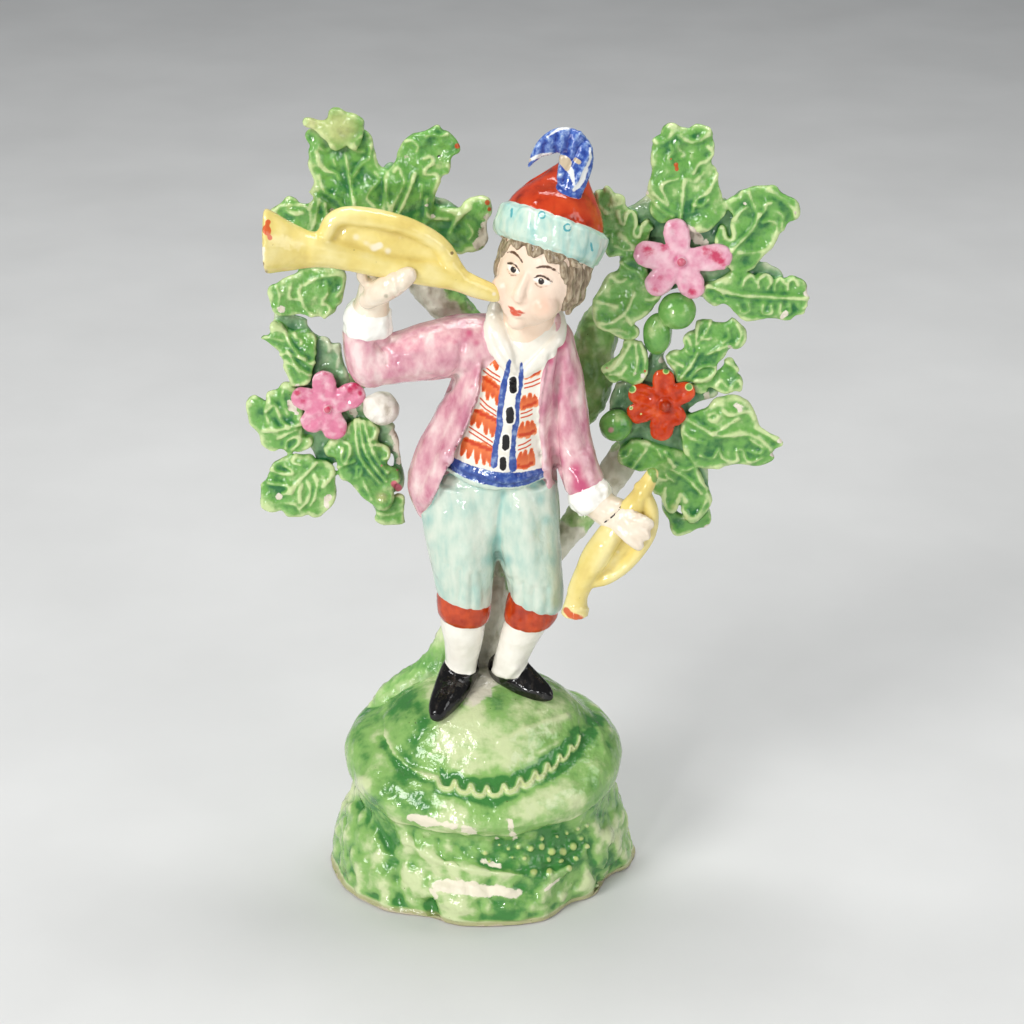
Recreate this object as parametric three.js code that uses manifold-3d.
// A pearlware bocage figure: a boy with two horns who stands on a grassy mound in front of a small
// flowering tree. Millimetres, +Z up, the front faces -Y. The origin is on the underside of the base.
import * as THREE from "three";
import { mergeVertices } from "three/addons/utils/BufferGeometryUtils.js";
import Module from "manifold-3d";

const wasm = await Module();
wasm.setup();

// Driving dimensions
const PLINTH_WIDTH = 66;
const PLINTH_DEPTH = 52;
const PLINTH_HEIGHT = 23;
const MOUND_WIDTH = 59.4;
const MOUND_DEPTH = 51;
const MOUND_HEIGHT = 23;
const LIP_OVERHANG = 2.4;
const BOY_HEIGHT = 122;
const BOY_FORWARD = 0;
const RAISED_HORN_LENGTH = 45;
const LOWERED_HORN_LENGTH = 36;
const BELL_DISH_DEPTH = 2.4;
const TREE_HEIGHT = 96;
const TREE_SETBACK = 12;
const TRUNK_WIDTH = 11;
const FROND_SETBACK = 9;
const LEAF_LENGTH = 26;
const LEAF_THICKNESS = 2.6;
const PINK_FLOWER_DIAMETER = 16.4;
const RED_FLOWER_DIAMETER = 14.6;
const FLOWER_THICKNESS = 2.6;
const BUD_DIAMETER = 7.4;
const JOINT_GAP = 0.3;

const GLAZE = { roughness: 0.15, metalness: 0 };
const glazed = (hex) => new THREE.MeshStandardMaterial({ color: hex, ...GLAZE });

const vector = (x, y, z) => new THREE.Vector3(x, y, z);
const radians = THREE.MathUtils.degToRad;
const mix = THREE.MathUtils.lerp;

// A closed solid from a three.js geometry
function solidOf(geometry) {
  const bare = geometry.clone();
  bare.deleteAttribute("normal");
  bare.deleteAttribute("uv");
  const merged = mergeVertices(bare, 1e-4);
  return new wasm.Manifold(
    new wasm.Mesh({
      numProp: 3,
      vertProperties: Float32Array.from(merged.attributes.position.array),
      triVerts: Uint32Array.from(merged.index.array),
    }),
  );
}

function geometryOf(solid) {
  const mesh = solid.getMesh();
  return new THREE.BufferGeometry()
    .setAttribute("position", new THREE.BufferAttribute(Float32Array.from(mesh.vertProperties), 3))
    .setIndex(new THREE.BufferAttribute(Uint32Array.from(mesh.triVerts), 1))
    .toNonIndexed();
}

const joined = (solids) => solids.reduce((whole, next) => whole.add(next));
const without = (solid, others) => others.reduce((rest, other) => rest.subtract(other), solid);

// The body that stays when crumbs have been cut loose from it
function mainBody(solid) {
  return solid.decompose().reduce((a, b) => (a.volume() > b.volume() ? a : b));
}

// A skin over rings that have the same number of points, closed at both ends by a fan
function skin(rings) {
  const sides = rings[0].length;
  const triangles = [];
  const middle = (ring) =>
    ring.reduce((sum, p) => sum.add(p), vector(0, 0, 0)).multiplyScalar(1 / sides);
  const ends = [middle(rings[0]), middle(rings[rings.length - 1])];
  for (let i = 0; i < sides; i++) {
    const j = (i + 1) % sides;
    triangles.push(ends[0], rings[0][j], rings[0][i]);
    for (let k = 0; k + 1 < rings.length; k++) {
      const [low, high] = [rings[k], rings[k + 1]];
      triangles.push(low[i], low[j], high[j], low[i], high[j], high[i]);
    }
    triangles.push(ends[1], rings[rings.length - 1][i], rings[rings.length - 1][j]);
  }
  return solidOf(new THREE.BufferGeometry().setFromPoints(triangles));
}

// A limb through stations [x, y, z, half width, half depth]. Each ring is square to the limb, and its
// depth turns as near as it can to `front`. `round` says which of its two ends is a dome.
const DOME = [
  [0.86, 0.5],
  [0.5, 0.87],
];
const FORWARD = vector(0, -1, 0);
function limb(stations, { sides = 10, front = FORWARD, grow = 0, round = [true, true] } = {}) {
  const centres = stations.map(([x, y, z]) => vector(x, y, z));
  const rings = centres.map((centre, i) => {
    const before = centres[Math.max(i - 1, 0)];
    const after = centres[Math.min(i + 1, centres.length - 1)];
    const along = after.clone().sub(before).normalize();
    const deep = front.clone().addScaledVector(along, -front.dot(along)).normalize();
    const [wide, thick = wide] = stations[i].slice(3);
    return { centre, along, deep, side: deep.clone().cross(along), wide, thick };
  });
  const dome = (ring, way) =>
    DOME.map(([out, share]) => {
      const reach = way * out * Math.min(ring.wide, ring.thick);
      return {
        ...ring,
        centre: ring.centre.clone().addScaledVector(ring.along, reach),
        wide: ring.wide * share,
        thick: ring.thick * share,
      };
    });
  const all = [
    ...(round[0] ? dome(rings[0], -1) : []),
    ...rings,
    ...(round[1] ? dome(rings[rings.length - 1], 1).reverse() : []),
  ];
  return skin(
    all.map(({ centre, along, deep, side, wide, thick }, k) => {
      const beyond = k === 0 ? -grow : k === all.length - 1 ? grow : 0;
      return Array.from({ length: sides }, (_, i) => {
        const angle = (2 * Math.PI * i) / sides;
        return centre
          .clone()
          .addScaledVector(along, beyond)
          .addScaledVector(side, (wide + grow) * Math.cos(angle))
          .addScaledVector(deep, (thick + grow) * Math.sin(angle));
      });
    }),
  );
}

// A rounded lump with half sizes along X, Y and Z
const ball = (centre, halves, grow, sides) =>
  solidOf(
    new THREE.SphereGeometry(1, sides, Math.round(sides * 0.6))
      .scale(...halves.map((half) => half + grow))
      .translate(...centre),
  );

// A solid turned about a point: pitch nods its front down, roll leans it to the right, yaw swings it
function turned(solid, { pitch = 0, roll = 0, yaw = 0 }, { x, y, z }) {
  return solid
    .translate([-x, -y, -z])
    .rotate([-pitch, 0, 0])
    .rotate([0, roll, 0])
    .rotate([0, 0, yaw])
    .translate([x, y, z]);
}

// Base: a rough rocky plinth and, on it, a domed mound of turf whose lip hangs over. A ring's `out` is a
// share of the half width, and `side` and `front` are its heights there as shares of the tier's height.
const BASE_SIDES = 28;
const PLINTH_RINGS = [
  { out: 1, side: 0, front: 0 },
  { out: 1.005, side: 0.14, front: 0.12 },
  { out: 0.96, side: 0.5, front: 0.46 },
  { out: 0.885, side: 0.7, front: 0.62 },
  { out: 0.84, side: 0.98, front: 0.86 },
];
const MOUND_RINGS = [
  { out: 0.985, side: 0.1, front: -0.06 },
  { out: 1, side: 0.26, front: 0.06 },
  { out: 0.95, side: 0.41, front: 0.19 },
  { out: 0.77, side: 0.57, front: 0.36 },
  { out: 0.6, side: 0.77, front: 0.66 },
  { out: 0.36, side: 0.93, front: 0.88 },
];

// Lobes of rock that push the foot of the plinth out or in, each at an angle in degrees
const LOBES = [
  { at: 6, reach: 10, out: 0.02 },
  { at: -20, reach: 17, out: -0.16 },
  { at: -50, reach: 12, out: -0.13 },
  { at: -112, reach: 10, out: -0.06 },
  { at: 62, reach: 20, out: 0.03 },
  { at: 128, reach: 20, out: 0.03 },
];
const lobed = (degrees) =>
  LOBES.reduce((sum, { at, reach, out }) => {
    const away = (((degrees - at + 540) % 360) - 180) / reach;
    return sum + out * Math.exp(-away * away);
  }, 1);

function tierPoint(halfWidth, halfDepth, side, front, angle) {
  const facing = Math.max(0, -Math.sin(angle)) ** 1.5;
  return vector(halfWidth * Math.cos(angle), halfDepth * Math.sin(angle), mix(side, front, facing));
}

// A frill of turf crimped on across the front of the mound, between two angles in degrees: it starts plain
// on the left and then runs in scallops, nearer to the mound's edge as it goes.
const FRILL = { from: -176, to: -16, plain: 0.3, scallops: 10 };
const FRILL_START_INSET = 6.8;
const FRILL_END_INSET = 3.9;
const FRILL_WAVE = 0.7;
const FRILL_WIDTH = 1.9;
const FRILL_HEIGHT = 1.3;
function frill(grow) {
  const { from, to, plain, scallops } = FRILL;
  const plainSteps = [0, 0.5, 1].map((share) => ({ along: plain * share, wave: 0 }));
  const waves = Array.from({ length: 2 * scallops }, (_, i) => ({
    along: mix(plain, 1, (i + 1) / (2 * scallops)),
    wave: i % 2 ? FRILL_WAVE : -FRILL_WAVE,
  }));
  const path = [...plainSteps, ...waves].map(({ along, wave }) => {
    const angle = radians(mix(from, to, along));
    const inset = mix(FRILL_START_INSET, FRILL_END_INSET, along) + wave;
    const out = 1 - inset / (MOUND_WIDTH / 2);
    const k = MOUND_RINGS.findIndex((ring) => ring.out < out);
    const [outer, inner] = [MOUND_RINGS[k - 1], MOUND_RINGS[k]];
    const up = (outer.out - out) / (outer.out - inner.out);
    const height = (key) => PLINTH_HEIGHT + MOUND_HEIGHT * mix(outer[key], inner[key], up);
    const halves = [(out * MOUND_WIDTH) / 2, (out * MOUND_DEPTH) / 2];
    return [...tierPoint(...halves, height("side"), height("front"), angle), FRILL_WIDTH / 2, FRILL_HEIGHT];
  });
  return limb(path, { grow, sides: 4, front: vector(0, 0, 1), round: [false, false] });
}

function baseSolid(grow = 0) {
  const ring = (halfWidth, halfDepth, side, front, rock) =>
    Array.from({ length: BASE_SIDES }, (_, i) => {
      const angle = (2 * Math.PI * i) / BASE_SIDES;
      const shape = mix(1, lobed(THREE.MathUtils.radToDeg(angle)), rock);
      return tierPoint(halfWidth * shape + grow, halfDepth * shape + grow, side, front, angle);
    });
  const plinth = PLINTH_RINGS.map(({ out, side, front }, k) =>
    ring(
      (out * PLINTH_WIDTH) / 2,
      (out * PLINTH_DEPTH) / 2,
      side * PLINTH_HEIGHT - (k ? 0 : grow),
      front * PLINTH_HEIGHT - (k ? 0 : grow),
      1 - side,
    ),
  );
  const height = (share) => PLINTH_HEIGHT + share * MOUND_HEIGHT + grow;
  const under = (width) => width / 2 - LIP_OVERHANG;
  const neck = ring(under(MOUND_WIDTH), under(MOUND_DEPTH), height(0.03), height(-0.12), 0);
  const turf = MOUND_RINGS.map(({ out, side, front }) =>
    ring((out * MOUND_WIDTH) / 2, (out * MOUND_DEPTH) / 2, height(side), height(front), 0),
  );
  return joined([skin([...plinth, neck, ...turf]), frill(grow)]);
}

// Boy. He is laid out in 122nds of his height, which stand on the mound at his own zero height.
const boyUnit = BOY_HEIGHT / 122;
const BOY_ZERO = 44;
const SINK = 0.08;
function onBoy(solid) {
  return solid
    .translate([0, 0, -BOY_ZERO])
    .scale(boyUnit)
    .translate([0, -BOY_FORWARD, PLINTH_HEIGHT + MOUND_HEIGHT * (1 - SINK)]);
}

// A leg is a thigh in breeches, a stockinged calf and a shoe
const LEFT_LEG = {
  thigh: [
    [-4.4, 0, 84, 8.2, 7.4], [-4.3, -0.6, 76, 7, 7.2], [-4.1, -1.2, 70, 6, 6.4], [-4, -1.4, 65.6, 5.4, 5.6],
  ],
  calf: [
    [-4.2, -1.4, 65, 5.4, 5.3], [-4.4, -1.4, 60, 4.6, 4.8], [-4.3, -1.2, 55.4, 3.9, 4.2],
    [-5, -0.8, 48, 3.2, 3.5],
  ],
  shoe: [
    [-4.6, 1.4, 47.4, 3.3, 3], [-6, -3, 47, 4, 3.4], [-7.8, -7.4, 45, 3.8, 3], [-9.4, -11, 43.6, 2.4, 2],
  ],
};
const RIGHT_LEG = {
  thigh: [
    [7.6, 0, 84, 7.4, 7.4], [9.2, -0.6, 77, 6.4, 7], [10.3, -1.2, 70, 5.8, 6.3], [10.5, -1.4, 64.2, 5, 5.5],
  ],
  calf: [
    [9.4, -1.4, 64, 5.2, 5.2], [7.9, -1.4, 59, 4.6, 4.8], [6.7, -1.2, 55.6, 4, 4.2],
    [4.9, -0.6, 48, 3.3, 3.5],
  ],
  shoe: [
    [4.6, 1.2, 47.6, 3.3, 3], [7, -1.8, 47.2, 4, 3.4], [10, -4.2, 45.8, 4, 3], [12.6, -5.6, 44.8, 2.6, 2.2],
  ],
};
const legs = (grow) =>
  [LEFT_LEG, RIGHT_LEG].flatMap(({ thigh, calf, shoe }) => [
    limb(thigh, { grow, sides: 8, round: [false, true] }),
    limb(calf, { grow, sides: 8, round: [false, false] }),
    limb(shoe, { grow, sides: 7, front: vector(0, 0, 1), round: [false, true] }),
  ]);

const TORSO = [
  [1.4, 0, 79, 11, 6], [1.6, 0, 88, 11.4, 7.4], [2.2, 0, 97, 10, 7.2], [4, 0, 106, 9.6, 7.4],
  [6.2, 0, 114, 9.8, 7.4], [7.8, 0.2, 121, 9, 6.4], [9, 0, 126, 6, 5], [10, -0.6, 131, 4.8, 4.6],
];
const torso = (grow) => limb(TORSO, { grow, round: [false, false] });

// The open shirt collar stands round the neck
const COLLAR = [[8.2, -0.6, 122.6, 7.4, 6.6], [9, -0.8, 126, 6.6, 6], [9.4, -0.6, 128.6, 6, 5.4]];
const collar = (grow) => limb(COLLAR, { grow, sides: 8, round: [false, false] });

// The coat is a shell round the torso. Its front is cut open between two lapel lines, given as [x, z]
// points that run down one lapel, under both pointed tails and up the other lapel.
const COAT = [
  [0.6, 0.6, 84, 14.4, 8.4], [-0.3, 0.6, 91, 15.4, 9.2], [0.5, 0.4, 99, 13.8, 9], [2.4, 0.3, 106, 12, 9.2],
  [4.6, 0.2, 113, 11.4, 9.2], [6.8, 0.2, 120, 10.8, 8.2], [8.4, 0.2, 126, 7.8, 6.6],
];
const COAT_OPENING = [
  [1.2, 132], [0, 121], [-0.8, 114], [-3, 107], [-6.6, 100.4], [-8.6, 95], [-12.8, 85.6], [-18, 91],
  [-20, 60], [20, 60], [18, 88], [15, 85.2], [13, 92], [12, 98], [11, 106], [11.2, 113], [12, 119],
  [14.4, 125], [16, 132],
];
function coat(grow) {
  const shell = limb(COAT, { grow, sides: 10, round: [false, false] });
  const opening = new THREE.Shape(COAT_OPENING.map(([x, z]) => new THREE.Vector2(x, z)));
  const front = new THREE.ExtrudeGeometry(opening, { depth: 30, bevelEnabled: false })
    .rotateX(Math.PI / 2)
    .translate(0, -2 - grow, 0);
  return shell.subtract(solidOf(front));
}

// One arm is bent so that its hand holds a horn at the mouth, and the other hangs with a horn at its hip
const RAISED_UPPER_ARM = [
  [4, 0.4, 121.6, 7, 6], [-5, -0.4, 121.2, 7, 6], [-11, -1.4, 120, 6.2, 5.6], [-16, -2.2, 119.2, 5.3, 5.2],
  [-21, -2.8, 118.8, 4.8, 4.9],
];
const RAISED_FOREARM = [
  [-22.9, -3, 117.6, 4.8, 4.9], [-23.3, -3.4, 123, 4.2, 4.4], [-22.9, -3.8, 126, 4.6, 4.6],
  [-22.3, -4.2, 130.2, 4, 4.2], [-21.2, -5, 133, 3.3, 3.4], [-19.2, -6, 136, 4.4, 3.4],
  [-17.6, -6.8, 138.6, 5, 3],
];
const LOWERED_ARM = [
  [13, 0, 122, 5.2, 5.8], [15.4, -0.2, 113, 4.4, 5], [16.9, -1, 105, 3.9, 4.4], [18.4, -2, 98, 3.8, 4.2],
  [20.4, -3, 92.4, 3.8, 4.1], [22, -3.8, 89.8, 4.2, 4.1], [24.6, -4.8, 87.6, 3.2, 3.4],
  [28, -6.4, 86, 3.6, 3.8], [30.6, -7.6, 84.6, 3.8, 3.6],
];
const arms = (grow) =>
  [RAISED_UPPER_ARM, RAISED_FOREARM, LOWERED_ARM].map((stations) =>
    limb(stations, { grow, sides: 8, round: [false, true] }),
  );

// Head: rings [back, up, half width, half depth] from the chin to the crown, given from the middle of the
// head, with curls of hair round its back and sides
const HEAD = { x: 11.4, y: -2, z: 138 };
const HEAD_TILT = { pitch: 6, roll: 14, yaw: -24 };
const HEAD_RINGS = [
  [-3.6, -10.6, 2, 1.8], [-2.8, -8.4, 4.8, 4.6], [-1.6, -4.4, 7, 7.2], [-0.6, 0, 8.2, 8.6], [0, 5, 8.4, 8.8],
  [0.4, 9, 6.6, 7],
];
const HAIR_RADIUS = 7.7;
const LOCKS = 6;
function head(grow) {
  const { x, y, z } = HEAD;
  const rings = HEAD_RINGS.map(([back, up, wide, deep]) => [x, y + back, z + up, wide, deep]);
  const skull = limb(rings, { grow, sides: 10, round: [false, true] });
  const bridge = [x, y - 8, z + 1.6, 0.8];
  const tip = [x, y - 9.4, z - 2, 1.3];
  const nose = limb([bridge, tip], { grow, sides: 6, round: [false, true] });
  const locks = Array.from({ length: LOCKS }, (_, i) => {
    const angle = radians(-30 + (240 / (LOCKS - 1)) * i);
    const [across, back] = [HAIR_RADIUS * Math.cos(angle), 0.8 + HAIR_RADIUS * Math.sin(angle)];
    return ball([x + across, y + back, z - 1.5 * (i % 2)], [2.6, 2.7, 5.2], grow, 5);
  });
  return [skull, nose, ...locks].map((s) => turned(s, HEAD_TILT, HEAD));
}

// Cap: a stiff band that flares upwards, a soft crown drawn up to a point, and a curled feather
const CAP_SEAT = { x: 12.6, y: -0.6, z: 143.6 };
const CAP_TILT = { pitch: 20, roll: 20, yaw: 0 };
const CAP_SIDES = 10;
const BAND = [[0, -3.4], [9.9, -3.4], [10.6, -2.6], [11.1, 3], [10.3, 3.9], [0, 3.9]];
const CROWN = [[0, 1], [9.9, 1], [9.8, 4.4], [8.2, 8], [5.6, 10.8], [3.4, 13.2], [2, 16.4], [0, 17.2]];
const FEATHER = [
  [16, -4.2, 152.6, 1.8, 1.3], [17, -3, 156.4, 2.9, 1.5], [17.8, -1.8, 160, 3.2, 1.6],
  [17.4, -1.4, 163, 2.9, 1.6], [14.2, -1.4, 163.6, 2.6, 1.5], [11.2, -1.6, 161.6, 1.7, 1.2],
  [9, -1.8, 159.4, 0.8, 0.8],
];
function cap(grow) {
  const { x, y, z } = CAP_SEAT;
  const turnings = [BAND, CROWN].map((profile) => {
    const outline = profile.map(([r, h]) => new THREE.Vector2(r && r + grow, h + Math.sign(h - 2) * grow));
    const solid = solidOf(new THREE.LatheGeometry(outline, CAP_SIDES).rotateX(Math.PI / 2));
    return turned(solid.translate([x, y, z]), CAP_TILT, CAP_SEAT);
  });
  return [...turnings, limb(FEATHER, { grow, sides: 6 })];
}

function boySolid(grow = 0) {
  const clothes = [torso(grow), coat(grow), collar(grow)];
  return onBoy(joined([...legs(grow), ...clothes, ...arms(grow), ...head(grow), ...cap(grow)]));
}

// Horn: a tube from the mouthpiece to the bell, with one flattened coil beside it and a web of clay in the
// coil. Its stations are [x, z, half width, half depth] in the boy's units, it swings forward from its
// mouthpiece by `swing` per unit of width, and it is scaled from there by its own length.
function horn({ mouth, swing, tube, coil, web }, scale, grow) {
  const [mouthX, mouthY, mouthZ] = mouth;
  const forward = (x) => mouthY - swing * Math.abs(x - mouthX);
  const station = (inset) => ([x, z, wide, thick = wide]) => [x, forward(x) + inset, z, wide, thick];
  const path = tube.map(station(0));
  const [throat, rim] = path.slice(-2);
  const inward = vector(...throat.slice(0, 3)).sub(vector(...rim.slice(0, 3))).normalize();
  const ring = (depth, share) => {
    const centre = vector(...rim.slice(0, 3)).addScaledVector(inward, depth);
    return [centre.x, centre.y, centre.z, rim[3] * share];
  };
  const hollow = [ring(-2, 0.9), ring(0, 0.8), ring(BELL_DISH_DEPTH, 0.36)];
  const dish = limb(hollow, { sides: 8, round: [false, false] });
  const solid = joined([
    limb(path, { grow, sides: 8, round: [true, false] }),
    limb(coil.map(station(0)), { grow, sides: 6, round: [false, false] }),
    limb(web.map(station(0.5)), { grow, sides: 6, round: [false, false] }),
  ]);
  const open = grow ? solid : solid.subtract(dish);
  return onBoy(open.translate([-mouthX, -mouthY, -mouthZ]).scale(scale).translate(mouth));
}

const RAISED_HORN = {
  mouth: [2.2, -7, 134],
  swing: 0.14,
  tube: [
    [2.2, 134, 1.3], [-2, 136, 1.8], [-6, 138, 2.5], [-12, 139.5, 2.5, 2.4], [-19, 141.1, 2.6, 2.5],
    [-26, 143.2, 2.8, 2.7], [-32, 144.8, 3.2, 3], [-35.4, 145.6, 3.8, 3.6], [-38.6, 146.3, 4.8, 4.6],
    [-41.4, 146.9, 6, 5.6],
  ],
  coil: [
    [-6.4, 139.9, 1.8, 2.2], [-7.4, 143.7, 1.8, 2.2], [-10.2, 146.5, 1.8, 2.2], [-15, 148.9, 1.8, 2.2],
    [-20.6, 150.7, 1.8, 2.2], [-26, 151.3, 1.8, 2.2], [-28.8, 150.1, 1.8, 2.2], [-30.4, 147, 1.8, 2.2],
  ],
  web: [[-8.4, 141.8, 2.6, 1.4], [-16, 145, 3.8, 1.4], [-28.6, 147.6, 3.4, 1.4]],
};
const LOWERED_HORN = {
  mouth: [33.4, -7, 95.6],
  swing: 0,
  tube: [
    [33.4, 95.6, 1.5], [31.6, 92, 1.9], [28.6, 87, 2.5], [25.2, 82, 3, 2.8], [22.2, 76.6, 3.2, 2.8],
    [20, 72, 2.5, 2.4], [19.1, 69, 2.3], [18.9, 66.6, 2.5], [18.8, 64.2, 3],
  ],
  coil: [
    [32.2, 92.2, 1.4, 1.9], [33.8, 87.6, 1.5, 2], [33.4, 83.2, 1.6, 2], [31.2, 79, 1.6, 2],
    [28.2, 75.2, 1.6, 2], [25, 73, 1.6, 2], [21, 72.6, 1.6, 2],
  ],
  web: [[31.8, 88.4, 2.4, 1.3], [29.4, 81.6, 3.2, 1.3], [24.4, 74.8, 2.8, 1.3]],
};
const raisedHornSolid = (grow = 0) => horn(RAISED_HORN, RAISED_HORN_LENGTH / 45, grow);
const loweredHornSolid = (grow = 0) => horn(LOWERED_HORN, LOWERED_HORN_LENGTH / 36, grow);

// The tree is laid out in 96ths of its height above the top of the mound, at its own zero height
const treeUnit = TREE_HEIGHT / 96;
const TREE_ZERO = 46;
const TREE_FOOT = PLINTH_HEIGHT + MOUND_HEIGHT;
const onTree = ([x, z], y) => vector(x * treeUnit, y, TREE_FOOT + (z - TREE_ZERO) * treeUnit);

// Leaf: a thick blade along +X that faces +Z, with a raised midrib, lobed and curled edges and a blunt tip.
// Each ring has two points on its flat back and three on its face: edge, midrib, edge.
const LEAF_LOBES = 3;
function leaf(length, width, nod, grow) {
  const steps = 2 * LEAF_LOBES + 1;
  const ring = (k) => {
    const t = k / (steps - 1);
    const notch = k % 2;
    const oval = 0.3 + 0.7 * Math.sin(Math.PI * (0.1 + 0.8 * t));
    const half = (width / 2) * oval * (notch ? 0.8 : 1.08);
    const droop = -nod * t * t * length;
    const point = (share, height) => vector(t * length, share * (half + grow), droop + height);
    const edge = LEAF_THICKNESS * (notch ? 0.5 : 0.8) + grow;
    const rib = LEAF_THICKNESS * (1.1 - 0.35 * t) + grow;
    return [point(-0.8, -grow), point(0.8, -grow), point(1, edge), point(0, rib), point(-1, edge)];
  };
  const rings = Array.from({ length: steps }, (_, k) => ring(k));
  rings[0].forEach((p) => (p.x -= grow));
  rings[steps - 1].forEach((p) => (p.x += grow));
  return skin(rings);
}

// Fronds: leaves round a hub, joined behind by a web of clay. The hub is an [x, z] on the tree. A leaf is
// [root x, root z, tip x, tip z, width, nod, lift], laid out from the hub for leaves of 26.
const LEAF_LAYOUT = 26;
const leafUnit = LEAF_LENGTH / LEAF_LAYOUT;
const FRONDS = {
  upper_left_frond: {
    hub: [-21, 140.6],
    web: [13, 9.6],
    leaves: [
      [-2, 2, -7.4, 26, 14.5, -0.04, 0.5], [2, 2, 14.4, 20.4, 12, 0.03, 0], [4, 0, 22, 5.4, 10, 0.06, 0.2],
      [-6, 1, -21, 5.6, 10, 0.04, 0], [-4, -5, -21.6, -11, 11, 0, 0.4], [9, -7, 14.5, -15, 5, 0.1, 0],
    ],
  },
  lower_left_frond: {
    hub: [-31.4, 103.8],
    web: [10.4, 11.4],
    leaves: [
      [3.4, 7.6, -13.6, 16.2, 12.5, 0.02, 0.3], [-2, -3, -17.4, 1.4, 15, 0, 0.8],
      [0.6, -7.4, -13.6, -21, 14.5, 0.04, 0.8], [1.4, -3.6, 14, -19.4, 12.5, 0.02, 0.4],
      [10, -14, 12.2, -25.6, 8, 0, 0], [8, 2, 13.6, -14, 6, 0, 0],
    ],
  },
  upper_right_frond: {
    hub: [39.8, 135.6],
    web: [10, 9],
    leaves: [
      [0.2, 2, -0.3, 28, 15.5, 0.02, 0.6], [3, 0.6, 22.3, 12.8, 13, 0.06, 0],
      [1, -3.4, 25, -7.6, 12.5, 0.04, 0.8], [-3, 2, -16, 15, 11, 0.1, 0],
      [-2, -2, -15.6, -12.6, 14.5, -0.04, 0.6],
    ],
  },
  lower_right_frond: {
    hub: [36.8, 105],
    web: [9.4, 11],
    leaves: [
      [0, 3, 15.4, 17.6, 11.5, 0.03, 0.6], [2, 1, 14.6, 7, 7, 0, 0],
      [1, -1.6, 24.4, -8.4, 15.5, 0.04, 0.8], [-1.6, -5, 6.4, -29, 12.5, 0.04, 0.3],
      [-2, -4, -8.4, -12.6, 9, 0, 0.2], [-2, 2, -11.4, 13.4, 11, 0, 0.2],
    ],
  },
};
const hubOf = (name) => onTree(FRONDS[name].hub, FROND_SETBACK);

function frondSolid(name, grow = 0) {
  const { web, leaves } = FRONDS[name];
  const hub = hubOf(name);
  const blades = leaves.map(([x0, z0, x1, z1, width, nod, lift]) => {
    const [dx, dz] = [(x1 - x0) * leafUnit, (z1 - z0) * leafUnit];
    return leaf(Math.hypot(dx, dz), width * leafUnit, nod, grow)
      .translate([0, 0, lift])
      .rotate([90, 0, 0])
      .rotate([0, -THREE.MathUtils.radToDeg(Math.atan2(dz, dx)), 0])
      .translate([x0 * leafUnit, 0, z0 * leafUnit]);
  });
  const halves = [web[0] * leafUnit, LEAF_THICKNESS * 0.8, web[1] * leafUnit];
  const backing = ball([0, -LEAF_THICKNESS * 0.3, 0], halves, grow, 8);
  return joined([backing, ...blades]).translate([hub.x, hub.y, hub.z]);
}

// Flower: one pressed disc whose edge runs in and out round its petals. A ring is [share of the reach,
// height as a share of the thickness], from the back over the rim to the raised eye.
const FLOWERS = {
  upper_right_flower: { diameter: PINK_FLOWER_DIAMETER, petals: 5, turn: 14, move: [-1, 0.6] },
  lower_right_flower: { diameter: RED_FLOWER_DIAMETER, petals: 6, turn: 0, move: [-0.4, 0.6] },
  lower_left_flower: { diameter: PINK_FLOWER_DIAMETER, petals: 5, turn: 4, move: [-0.3, 1.2] },
};
const FLOWER_TIP = 12;
const FLOWER_RINGS = [[0.9, 0], [0.97, 0.65], [0.24, 0.58], [0.15, 1.1]];
const PETAL_EDGE = [0.52, 0.93, 1, 0.93];
const PETAL_HOLD = 0.3;
function flowerSolid(name, grow = 0) {
  const { diameter, petals, turn, move } = FLOWERS[name];
  const points = petals * PETAL_EDGE.length;
  const rings = FLOWER_RINGS.map(([share, height], k) =>
    Array.from({ length: points }, (_, i) => {
      const edge = share > PETAL_HOLD ? PETAL_EDGE[i % PETAL_EDGE.length] : 1;
      const angle = (2 * Math.PI * (i - 2)) / points + Math.PI / 2;
      const r = (share * edge * diameter) / 2 + grow;
      const out = k ? grow : -grow;
      return vector(r * Math.cos(angle), r * Math.sin(angle), height * FLOWER_THICKNESS + out);
    }),
  );
  const hub = hubOf(name.replace("flower", "frond"));
  return skin(rings)
    .rotate([0, 0, turn])
    .rotate([90 - FLOWER_TIP, 0, 0])
    .translate([hub.x + move[0] * leafUnit, hub.y - LEAF_THICKNESS, hub.z + move[1] * leafUnit]);
}

// Buds: small round fruits pressed on beside the flowers, placed from the hub
const BUDS = {
  upper_right_bud: { on: "upper_right_frond", move: [-1.4, -10.2], size: [1.04, 1.04] },
  middle_right_bud: { on: "upper_right_frond", move: [-5.4, -14.4], size: [0.72, 1.1] },
  lower_right_bud: { on: "lower_right_frond", move: [-10, -3.6], size: [0.92, 0.86] },
  lower_left_bud: { on: "lower_left_frond", move: [10.9, 1], size: [1, 0.9] },
};
function budSolid(name, grow = 0) {
  const { on, move, size } = BUDS[name];
  const hub = hubOf(on);
  const r = BUD_DIAMETER / 2;
  const centre = [hub.x + move[0] * leafUnit, hub.y - LEAF_THICKNESS * 0.6, hub.z + move[1] * leafUnit];
  return ball(centre, [r * size[0], r * 0.9, r * size[1]], grow, 7);
}

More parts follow.
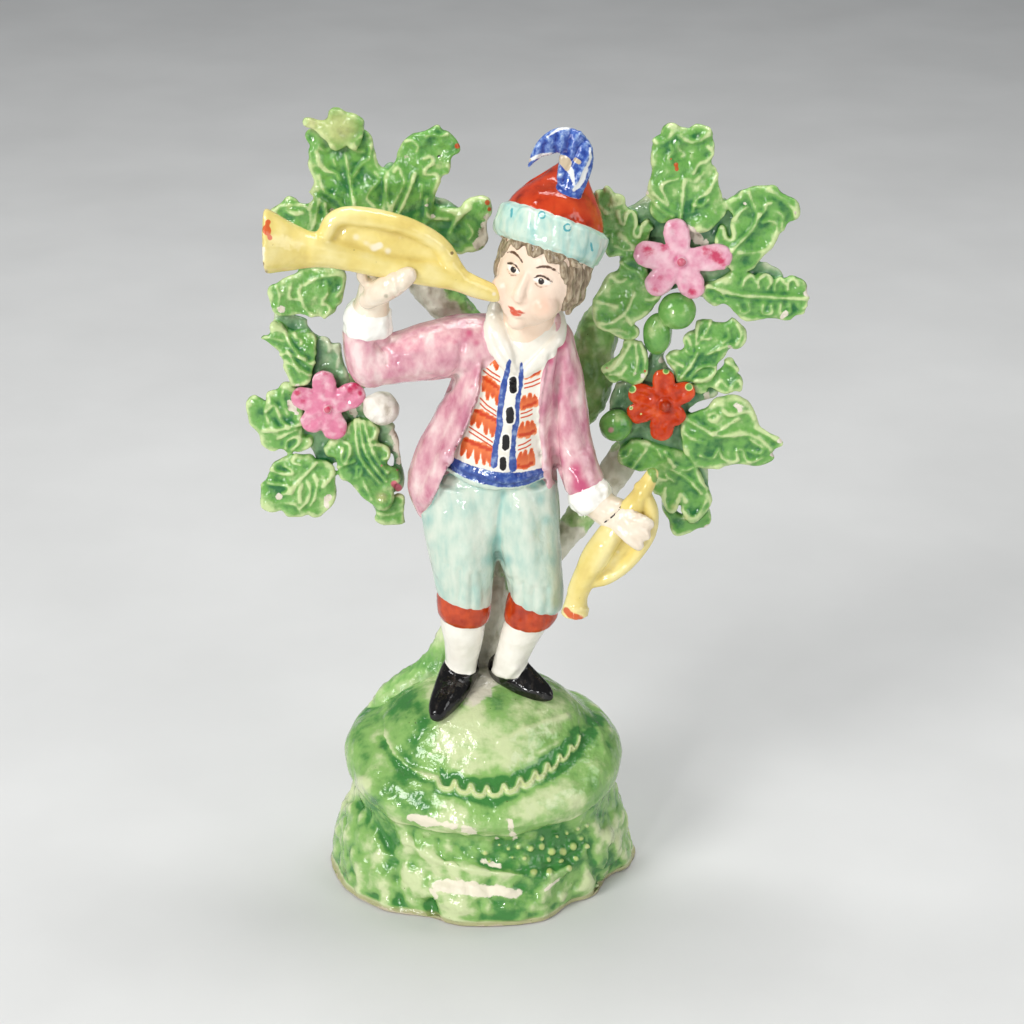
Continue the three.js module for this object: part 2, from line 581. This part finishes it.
// Tree: a trunk that spreads at its foot and leans back behind the boy, with boughs that carry the fronds.
// A station is [x, z, back from the trunk's foot, half width, half depth], the halves as shares of the
// trunk's, and the bough goes on from its last station to the hub of its frond.
const TRUNK = [
  [-3, 27, 1, 3.2, 2], [-3.2, 42, 0, 2.5, 1.7], [-2, 47, -0.4, 1.85, 1.4], [-1.2, 53, -1, 1.4, 1.2],
  [0, 60, -0.8, 1.15, 1.1], [1, 72, 0, 1.1], [2, 86, 3, 1.1], [4, 112, 4, 1],
];
const BOUGHS = {
  upper_left_frond: [[4, 108, 4, 1], [-4, 120, 4, 0.95], [-10.5, 127, 3.4, 0.9]],
  lower_left_frond: [[2, 108, 4, 0.9], [-8, 112, 4, 0.8], [-20, 111, 2.6, 0.8]],
  upper_right_frond: [
    [4, 98, 4, 1], [17, 98.6, 3.4, 0.95], [22.4, 104, 3.2, 1], [23.6, 114, 3.2, 0.95], [27, 123, 3, 0.9],
  ],
  lower_right_frond: [[2, 62, -0.6, 1], [14, 70, -0.4, 0.86], [22, 80, 1, 0.8], [29, 89, 2, 0.7]],
};
const BOUGH_END = { wide: 0.8, thick: 0.6 };
function treeSolid(grow = 0) {
  const half = TRUNK_WIDTH / 2;
  const at = ([x, z, back, wide, thick = wide]) => {
    const p = onTree([x, z], TREE_SETBACK + back);
    return [p.x, p.y, p.z, wide * half, thick * half];
  };
  const boughs = Object.entries(BOUGHS).map(([name, stations]) => {
    const { x, y, z } = hubOf(name);
    const { wide, thick } = BOUGH_END;
    const end = [x, y + LEAF_THICKNESS * 0.4 + thick * half, z, wide * half, thick * half];
    return [...stations.map(at), end];
  });
  const paths = [TRUNK.map(at), ...boughs];
  return joined(paths.map((path) => limb(path, { grow, sides: 6, round: [false, true] })));
}

// Each piece is bedded on its neighbours with a thin joint, so it is cut by them grown by that gap
const gap = JOINT_GAP;
const base = baseSolid(gap);
const boy = boySolid(gap);
const horns = [raisedHornSolid(gap), loweredHornSolid(gap)];
const flowerNames = Object.keys(FLOWERS);
const budNames = Object.keys(BUDS);
const frondNames = Object.keys(FRONDS);
const flowers = flowerNames.map((name) => flowerSolid(name, gap));
const buds = budNames.map((name) => budSolid(name, gap));
const fronds = frondNames.map((name) => frondSolid(name, gap));

const GREEN = 0x5f9f55;
const MOSS = 0x8fb96f;
const BARK = 0x9db58b;
const MAUVE = 0xc98aa0;
const YELLOW = 0xe6cf7c;
const PINK = 0xcf6f92;
const RED = 0xc8401f;
const BARE_CLAY = 0xe4dfd2;

const figure = new THREE.Group();
function add(name, solid, colour) {
  const mesh = new THREE.Mesh(geometryOf(mainBody(solid)), glazed(colour));
  mesh.name = name;
  figure.add(mesh);
}

add("base", baseSolid(), MOSS);
add("boy", without(boySolid(), [base, ...horns]), MAUVE);
add("raised_horn", raisedHornSolid(), YELLOW);
add("lowered_horn", loweredHornSolid(), YELLOW);
frondNames.forEach((name, i) => {
  const neighbours = [boy, ...horns, ...flowers, ...buds, ...fronds.slice(0, i)];
  add(name, without(frondSolid(name), neighbours), GREEN);
});
add("tree", without(treeSolid(), [base, boy, ...horns, ...fronds, ...buds]), BARK);
flowerNames.forEach((name) => {
  const colour = name === "lower_right_flower" ? RED : PINK;
  add(name, without(flowerSolid(name), [boy, ...horns, ...buds]), colour);
});
budNames.forEach((name, i) => {
  const colour = name === "lower_left_bud" ? BARE_CLAY : GREEN;
  add(name, without(budSolid(name), [boy, ...horns, ...buds.slice(0, i)]), colour);
});

export default figure;
